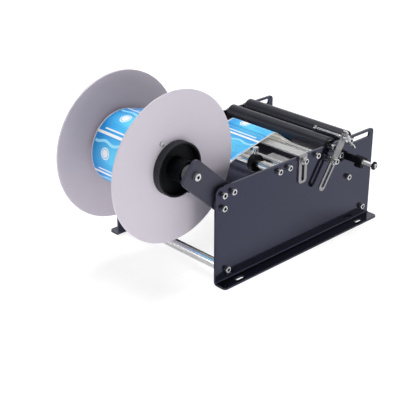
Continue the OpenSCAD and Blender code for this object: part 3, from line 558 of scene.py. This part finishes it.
def ground_rubber():
    """Ground rubber cover: satin black, with fine lines round the roller from grinding."""
    material, tree, shader = finish("ground_rubber", Specular_IOR_Level=0.50,
                                    Specular_Tint=(0.85, 0.85, 1.0, 1))
    grain = grained(tree, cloud=45.0, pit=2400.0)
    clouds = maths(tree, "MULTIPLY", grain["Tone"], 0.6)
    tone = maths(tree, "MULTIPLY_ADD", lined(tree, (1800, 90, 90)), 0.4, clouds)
    toned(tree, shader, tone, dark=(0.006, 0.006, 0.010), light=(0.014, 0.014, 0.020),
          smooth=0.30, rough=0.40)
    bumped(tree, shader, grain["Height"], depth=0.03 * MM)
    return material


def release_paper():
    """Release paper with a cloudy fibre tone and a soft tooth."""
    material, tree, shader = finish("release_paper", Specular_IOR_Level=0.3)
    grain = grained(tree, cloud=260.0, pit=3800.0)
    toned(tree, shader, grain["Tone"], dark=(0.74, 0.72, 0.66), light=(0.84, 0.82, 0.76),
          smooth=0.55, rough=0.75)
    bumped(tree, shader, grain["Height"], depth=0.02 * MM)
    return material


def wound_edge(name, dark, light, turns):
    """Edge of wound paper or board: fine rings about the reel's axis, so many to the metre."""
    material, tree, shader = finish(name, Specular_IOR_Level=0.3)
    rings = reel_rings(tree, turns)
    toned(tree, shader, rings, dark, light, 0.6, 0.8)
    bumped(tree, shader, rings, depth=0.08 * MM)
    return material


def printed_labels():
    """Blue labels on white paper, from the web's own map: u across it, v in label pitches along it.

    Each label is a blue field that pales towards its middle, with a ring badge, a wave, rules and dots.
    To diffuse rays the paper is grey, so that it casts no blue on the discs.
    """
    material, tree, shader = finish("printed_labels", Specular_IOR_Level=0.45)
    web = split(tree, node(tree, "ShaderNodeUVMap", {"uv_map": "web"}).outputs[0])
    u = web["X"]
    v = maths(tree, "FRACT", web["Y"])
    here = {"U": u, "V": v}

    def box(u0, v0, half_u, half_v):
        """Mask of one printed rectangle."""
        return placed(tree, PRINTED_BOX, here, U0=u0, V0=v0, Half_U=half_u, Half_V=half_v)["Mask"]

    def ring(u0, v0, inner, outer):
        """Mask of one printed ring."""
        return placed(tree, PRINTED_RING, here, U0=u0, V0=v0, Stretch=ROLL_W / LABEL_PITCH,
                      Inner=inner, Outer=outer)["Mask"]

    def both(first, second):
        """Where two masks meet."""
        return maths(tree, "MULTIPLY", first, second)

    def cell(value, count):
        """Place from -0.5 to 0.5 in each of so many cells."""
        return maths(tree, "SUBTRACT", maths(tree, "FRACT", maths(tree, "MULTIPLY", value, count)), 0.5)

    spread = distance(tree, maths(tree, "SUBTRACT", u, 0.6), maths(tree, "SUBTRACT", v, 0.5))
    pale = ranged(tree, spread, 1.0, 0.0, 0.12, 0.62)
    swing = maths(tree, "SINE", maths(tree, "MULTIPLY", u, WAVE_RATE))
    crest = maths(tree, "COMPARE", v, maths(tree, "MULTIPLY_ADD", swing, WAVE_RISE, WAVE_V), WAVE_HALF)
    dots = maths(tree, "LESS_THAN", distance(tree, cell(u, DOTS_ACROSS), cell(v, DOTS_ALONG)), DOT_R)
    paint = blended(tree, pale, DEEP_BLUE, PALE_BLUE)
    paint = blended(tree, both(crest, box(0.5, WAVE_V, 0.46, 0.1)), paint, WAVE_BLUE)
    paint = blended(tree, both(dots, box(0.72, 0.47, 0.125, 0.118)), paint, RULE_BLUE)
    for v0, half_u in RULES:
        paint = blended(tree, box(0.52, v0, half_u, RULE_HALF), paint, RULE_BLUE)
    paint = blended(tree, ring(*BADGE_AT, inner=-0.01, outer=0.15), paint, BADGE_WHITE)
    paint = blended(tree, ring(*BADGE_AT, inner=0.095, outer=0.12), paint, BADGE_BLUE)
    paint = blended(tree, box(0.5, 0.885, 0.36, 0.022), paint, BAR_WHITE)
    field = box(0.5, 0.5, 0.482, 0.5 - LABEL_GAP / LABEL_PITCH / 2)
    printed = blended(tree, field, PAPER_WHITE, paint)
    bounced = tree.nodes.new("ShaderNodeLightPath").outputs["Is Diffuse Ray"]
    tree.links.new(blended(tree, bounced, printed, BOUNCED_GREY), shader.inputs["Base Color"])
    cloudy = grained(tree, cloud=60.0, pit=2600.0)["Tone"]
    tree.links.new(ranged(tree, cloudy, 0.28, 0.42), shader.inputs["Roughness"])
    bumped(tree, shader, field, depth=0.06 * MM)
    return material


LABELS = printed_labels()
LINER = release_paper()
PAPER_EDGE = wound_edge("wound_paper_edge", (0.55, 0.66, 0.76), (0.88, 0.90, 0.91), 5200)
FINISH_OF_SLOT = {
    "black_paint": black_enamel(),
    "chrome": bright_chrome(),
    "bright_steel": bright_steel(),
    "stainless": brushed_stainless("strip_stainless", (40, 2400, 2400)),
    "disc_grey": disc_aluminium(),
    "black_plastic": moulded_plastic(),
    "black_rubber": ground_rubber(),
    "label_print": LABELS,
    "backing": LINER,
    "cardboard": wound_edge("wound_board", (0.30, 0.20, 0.11), (0.46, 0.33, 0.20), 2400),
}
ARM_FINISH = satin_enamel()
HUB_FINISH = hub_moulding()
SATIN_FINISH = satin_steel()
OWN_FINISH = {
    "reel_arm_right": ARM_FINISH,
    "reel_arm_left": ARM_FINISH,
    "reel_hub_right": HUB_FINISH,
    "reel_hub_left": HUB_FINISH,
    "reel_bearing_right": SATIN_FINISH,
    "reel_bearing_left": SATIN_FINISH,
    "drive_shaft": SATIN_FINISH,
    "stop_arm": brushed_stainless("arm_stainless", (40, 1500, 1100)),
    "stop_rod": threaded_rod(),
}
for name, piece in nodes.items():
    piece.data.materials.clear()
    piece.data.materials.append(OWN_FINISH.get(name) or FINISH_OF_SLOT[SLOT_OF[name]])


# Softened edges of the sheet and moulded parts

def stands_for(name):
    """Hides a node, for a piece that stands in its place."""
    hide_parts(name)


def merged(mesh, joins_flats):
    """Merges the doubled points of a mesh, and joins its flat neighbours if asked."""
    bm = bmesh.new()
    bm.from_mesh(mesh)
    bmesh.ops.remove_doubles(bm, verts=bm.verts, dist=MERGE)
    if joins_flats:
        bmesh.ops.dissolve_limit(bm, angle_limit=FLATS_ANGLE, verts=bm.verts, edges=bm.edges)
    bm.to_mesh(mesh)
    bm.free()


def softened(name, width):
    """Copy of a node, its triangles merged, its flats joined and its edges rounded to a width."""
    mesh = nodes[name].data.copy()
    mesh.name = "soft_" + name
    merged(mesh, joins_flats=True)
    if "custom_normal" in mesh.attributes:
        mesh.attributes.remove(mesh.attributes["custom_normal"])
    mesh.polygons.foreach_set("use_smooth", np.ones(len(mesh.polygons), bool))
    mesh.set_sharp_from_angle(angle=SHARP_ANGLE)
    piece = bpy.data.objects.new("soft_" + name, mesh)
    bpy.context.scene.collection.objects.link(piece)
    bevel = piece.modifiers.new("soft edge", "BEVEL")
    bevel.width = width
    bevel.segments = BEVEL_STEPS
    bevel.limit_method = "ANGLE"
    bevel.angle_limit = BEVEL_ANGLE
    bevel.harden_normals = True
    stands_for(name)
    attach(piece, BODY_OF[name])


SOFT_EDGES = {
    0.5 * MM: ["side_plate_right", "side_plate_left", "reel_arm_right", "reel_arm_left",
               "reel_hub_right", "reel_hub_left", "drive_hub"],
    0.4 * MM: ["web_collar_right", "web_collar_left", "stop_wing_nut"],
    0.25 * MM: ["guide_strip", "web_deck", "stop_arm"],
}
for width, names in SOFT_EDGES.items():
    for name in names:
        softened(name, width)


# Pieces made from grids

def grid_piece(name, points, uv=None, materials=(), smooth=True):
    """Mesh of quads over a grid of points (n, m, 3), with a map (n, m, 2) if one is given."""
    n, m = points.shape[:2]
    index = np.arange(n * m).reshape(n, m)
    corners = [index[:-1, :-1], index[1:, :-1], index[1:, 1:], index[:-1, 1:]]
    quads = np.stack(corners, axis=-1).reshape(-1, 4)
    mesh = bpy.data.meshes.new(name)
    mesh.from_pydata(points.reshape(-1, 3).tolist(), [], quads.tolist())
    mesh.polygons.foreach_set("use_smooth", np.full(len(quads), smooth))
    if uv is not None:
        layer = mesh.uv_layers.new(name="web")
        by_corner = uv.reshape(-1, 2)[quads.reshape(-1)]
        layer.data.foreach_set("uv", by_corner.reshape(-1).astype(np.float32))
    for material in materials:
        mesh.materials.append(material)
    mesh.update()
    piece = bpy.data.objects.new(name, mesh)
    bpy.context.scene.collection.objects.link(piece)
    return piece


# The web's run over its rounds

def run_angle(first, second):
    """Travel angle of the straight that is tangent to two rounds (y, z, r, turn) on their sides."""
    d = second[:2] - first[:2]
    reach = (second[3] * second[2] - first[3] * first[2]) / np.hypot(*d)
    return math.atan2(d[1], d[0]) - math.asin(max(-1.0, min(1.0, reach)))


def on_round(rounded, angle):
    """Places (y, z, angle) on a round for an array of travel angles: centre - turn r (-sin, cos)."""
    angle = np.atleast_1d(angle)
    normal = np.stack([-np.sin(angle), np.cos(angle)], axis=1)
    return np.column_stack([rounded[:2] - rounded[3] * rounded[2] * normal, angle])


def web_run(rounds, first_wrap):
    """Places along a web that wraps the rounds in turn: arcs on each, straights between.

    It starts first_wrap radians before it leaves the first round, and ends where it meets the last.
    """
    angles = [run_angle(a, b) for a, b in zip(rounds[:-1], rounds[1:])]
    start = angles[0] - rounds[0][3] * first_wrap
    runs = [on_round(rounds[0], np.linspace(start, angles[0], ROUND_STEPS))]
    for rounded, came, goes in zip(rounds[1:-1], angles[:-1], angles[1:]):
        turn = rounded[3] * ((rounded[3] * (goes - came) + 1.0) % (2 * math.pi) - 1.0)
        runs.append(on_round(rounded, came + turn * np.linspace(0, 1, ROUND_STEPS)))
    runs.append(on_round(rounds[-1], angles[-1]))
    return np.concatenate(runs)


def run_lengths(places):
    """Length along a run at each of its places."""
    return np.concatenate([[0], np.cumsum(np.hypot(*np.diff(places[:, :2], axis=0).T))])


def evenly(places, step):
    """Places with the long straights divided to a step, and the length along at each."""
    places = places[np.concatenate([[True], np.diff(run_lengths(places)) > MERGE])]
    length = run_lengths(places)
    wanted = np.unique(np.concatenate([length, np.arange(0, length[-1], step)]))
    return np.column_stack([np.interp(wanted, length, column) for column in places.T]), wanted


WEB_OFF = WEB_CLEAR + WEB_T / 2


def rounded_node(name, turn, gap=WEB_OFF):
    """Round at the middle of the web on a node that lies along x; turn 1 is under it, -1 over it."""
    return np.array([*centre(name), half_height(name) + gap, turn])


def free_bend(y, z, r, turn):
    """Round of a bend that the slack web makes in the air."""
    return np.array([y, z, r + WEB_OFF, turn])


def web_sheet(name, places, v, material):
    """Thin sheet: the run's y and z carried across the roll's width, with v along it."""
    across = np.linspace(1, 0, WEB_COLUMNS)
    points = np.empty((len(places), len(across), 3))
    points[..., 0] = ROLL_X[0] + ROLL_W * across[None, :]
    points[..., 1:] = places[:, None, :2]
    uv = np.stack(np.broadcast_arrays(across[None, :], v[:, None]), axis=-1)
    piece = grid_piece(name, points, uv, [material, LINER])
    solid = piece.modifiers.new("thickness", "SOLIDIFY")
    solid.thickness = PAPER_T
    solid.offset = 0
    solid.material_offset = 1
    solid.material_offset_rim = 1
    return piece


ON_ROLL = rounded_node("label_roll", -1, WEB_CLEAR)
ON_REAR_ROD = rounded_node("rear_web_rod", -1)
ON_REAR_ROLLER = rounded_node("rear_roller_rubber", 1)
ON_PEEL_BAR = rounded_node("peel_bar", -1)


def roll_pitches(angle):
    """Label pitches along the roll's rim at an angle from +y towards +z."""
    return (angle - FIRST_GAP_ANGLE) * ROLL_R / LABEL_PITCH


def label_web():
    """Printed web in two sheets that meet over the guide strip.

    It leaves the roll's top, hangs slack ahead of it, rises over the rear rod and arches past the strip.
    """
    low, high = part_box("guide_strip")
    strip_y = (low.y + high.y) / 2
    slack_y = ROLL_AXIS[0] + SLACK_OUT
    sag_y = slack_y + ROLL_R + SAG_R + 2 * WEB_OFF
    rounds = [
        ON_ROLL,
        free_bend(slack_y, ROLL_AXIS[1] - SLACK_DOWN, ROLL_R, -1),
        free_bend(sag_y, ON_REAR_ROD[1] + SAG_UP, SAG_R, 1),
        ON_REAR_ROD,
        free_bend(strip_y + ARCH_AHEAD, high.z - STRIP_T, ARCH_R, -1),
        ON_REAR_ROLLER,
        ON_PEEL_BAR,
    ]
    places, length = evenly(web_run(rounds, first_wrap=ROLL_WRAP), WEB_STEP)
    start = places[0, :2] - ROLL_AXIS
    v = roll_pitches(math.atan2(start[1], start[0])) - length / LABEL_PITCH
    from_strip = np.where(places[:, 1] > high.z, np.abs(places[:, 0] - strip_y), np.inf)
    cut = int(np.argmin(from_strip))
    rear = web_sheet("label_web_rear", places[:cut + 1], v[:cut + 1], LABELS)
    front = web_sheet("label_web_front", places[cut:], v[cut:], LABELS)
    stands_for("label_web")
    stands_for("label_web")
    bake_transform(rear)
    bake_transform(front)


def backing_sheet():
    """Bare backing paper from the peel bar round the drive roller to its free tail past the last nip."""
    rounds = [ON_REAR_ROLLER, ON_PEEL_BAR, rounded_node("front_roller_rubber", 1),
              rounded_node("drive_roller_rubber", -1), rounded_node("pinch_roller_rubber", 1)]
    run = web_run(rounds, first_wrap=0.0)[ROUND_STEPS:]
    end = run[-1]
    heading = np.array([math.cos(end[2]), math.sin(end[2])])
    reach = np.linspace(0, TAIL_L, TAIL_STEPS)[1:, None] * heading
    tail = np.column_stack([end[:2] + reach, np.full(len(reach), end[2])])
    places, length = evenly(np.concatenate([run, tail]), WEB_STEP)
    piece = web_sheet("backing_sheet", places, length / LABEL_PITCH, LINER)
    stands_for("backing_paper")
    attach(piece, BODY_OF["backing_paper"])


def turned(x, r):
    """Profile of x and r turned once about the reel's axis, as a grid with its angles."""
    angle = np.linspace(0, 2 * math.pi, REEL_STEPS + 1)
    points = np.empty((len(angle), len(x), 3))
    points[..., 0] = x[None, :]
    points[..., 1] = ROLL_AXIS[0] + np.cos(angle)[:, None] * r[None, :]
    points[..., 2] = ROLL_AXIS[1] + np.sin(angle)[:, None] * r[None, :]
    return points, angle


def label_roll():
    """Wound roll: a printed rim with small rolled shoulders, and ring-lined ends.

    Both are profiles of x and r turned about the reel's axis.
    """
    low, high = ROLL_X
    bend = np.linspace(0, math.pi / 2, SHOULDER_STEPS)
    side_x = low + ROLL_SHOULDER * (1 - np.cos(bend))
    side_r = ROLL_R - ROLL_SHOULDER * (1 - np.sin(bend))
    flat_x = np.linspace(low + ROLL_SHOULDER, high - ROLL_SHOULDER, RIM_COLUMNS)[1:-1]
    x = np.concatenate([side_x, flat_x, (low + high) - side_x[::-1]])[::-1]
    r = np.concatenate([side_r, np.full(len(flat_x), ROLL_R), side_r[::-1]])
    points, angle = turned(x, r)
    across = (x - low) / ROLL_W
    uv = np.stack(np.broadcast_arrays(across[None, :], roll_pitches(angle)[:, None]), axis=-1)
    bore = half_height("label_core") + CORE_SEAT
    ends_x = np.array([low, low, high, high])
    ends_r = np.array([side_r[0], bore, bore, side_r[0]])
    rim = grid_piece("label_roll_rim", points, uv, [LABELS])
    end_points = turned(ends_x, ends_r)[0]
    ends = grid_piece("label_roll_ends", end_points, None, [PAPER_EDGE], smooth=False)
    for piece in (rim, ends):
        merged(piece.data, joins_flats=False)
        stands_for("label_roll")
        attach(piece, BODY_OF["label_roll"])


label_web()
backing_sheet()
label_roll()


# Light and surroundings

def surroundings():
    """White studio: white where it is seen, and a plain soft light, more of it from the right.

    In gloss a dark flag hangs overhead, and the side behind the reel is weaker.
    """
    world = bpy.data.worlds.new("studio")
    bpy.context.scene.world = world
    bpy.context.scene.view_settings.view_transform = "Standard"
    world.use_nodes = True
    tree = world.node_tree
    sky = split(tree, tree.nodes.new("ShaderNodeTexCoord").outputs["Generated"])
    over_foot = ranged(tree, sky["Z"], 0.0, 1.0, *FLAG_FOOT)
    under_head = ranged(tree, sky["Z"], 1.0, 0.0, *FLAG_HEAD)
    flag = maths(tree, "MULTIPLY", over_foot, under_head)
    path = tree.nodes.new("ShaderNodeLightPath").outputs
    seen = maths(tree, "MAXIMUM", path["Is Camera Ray"], path["Is Transmission Ray"])
    sideways = ranged(tree, sky["X"], *SIDE_LIGHT)
    ahead = ranged(tree, sky["Y"], REAR_GLOSS, 1.0, *REAR_SPAN)
    mirrored = maths(tree, "MULTIPLY", ranged(tree, flag, 1.0, FLAG_GLOSS), ahead)
    lit = ranged(tree, path["Is Glossy Ray"], sideways, mirrored)
    tree.links.new(ranged(tree, seen, lit, 1.0), tree.nodes["Background"].inputs["Strength"])
    tree.nodes["Background"].inputs["Color"].default_value = (1, 1, 1, 1)


def floor():
    """Pale floor raised to white where it is seen, with the object's soft shadow left on it.

    Away from the object its glow rises to white, so that its far edge doesn't show.
    """
    material = bpy.data.materials.new("floor")
    material.use_nodes = True
    tree = material.node_tree
    tree.nodes.remove(tree.nodes["Principled BSDF"])
    plain = node(tree, "ShaderNodeBsdfDiffuse")
    glow = node(tree, "ShaderNodeEmission")
    path = tree.nodes.new("ShaderNodeLightPath").outputs
    mirrored = path["Is Glossy Ray"]
    seen = maths(tree, "MAXIMUM", path["Is Camera Ray"], path["Is Transmission Ray"])
    place = split(tree, object_place(tree))
    away = distance(tree, place["X"], place["Y"])
    shown = ranged(tree, away, FLOOR_SEEN, 1.0, FLOOR_NEAR, FLOOR_FAR)
    unseen = ranged(tree, mirrored, FLOOR_GLOW, FLOOR_GLOSS)
    tree.links.new(ranged(tree, seen, unseen, shown), glow.inputs["Strength"])
    tree.links.new(blended(tree, mirrored, FLOOR_SHADE, FLOOR_MIRRORED), plain.inputs["Color"])
    both = tree.nodes.new("ShaderNodeAddShader")
    tree.links.new(plain.outputs[0], both.inputs[0])
    tree.links.new(glow.outputs[0], both.inputs[1])
    tree.links.new(both.outputs[0], tree.nodes["Material Output"].inputs["Surface"])
    edge = np.array([-FLOOR_REACH, FLOOR_REACH])
    points = np.zeros((2, 2, 3))
    points[..., 0] = edge[:, None]
    points[..., 1] = edge[None, :]
    grid_piece("floor", points, None, [material])


def softbox(name, place, aim, size, power):
    """Square soft lamp at a place, turned towards an aim."""
    data = bpy.data.lights.new(name, "AREA")
    data.size = size
    data.energy = power
    lamp = bpy.data.objects.new(name, data)
    bpy.context.scene.collection.objects.link(lamp)
    back = np.array(place, float) - np.array(aim, float)
    back /= np.linalg.norm(back)
    right = np.cross([0, 0, 1], back)
    right /= np.linalg.norm(right)
    lamp.matrix_world = aimed(place, right, np.cross(back, right), back)


surroundings()
floor()
softbox("side", place=(2.2, -0.12, 0.10), aim=(0.04, -0.12, 0.16), size=0.8, power=16)
softbox("top", place=(-0.2, 0.3, 2.2), aim=(0, 0.1, 0.1), size=1.0, power=46)
softbox("rear", place=(-0.8, -2.0, 1.0), aim=(0, -0.1, 0.1), size=1.4, power=16)
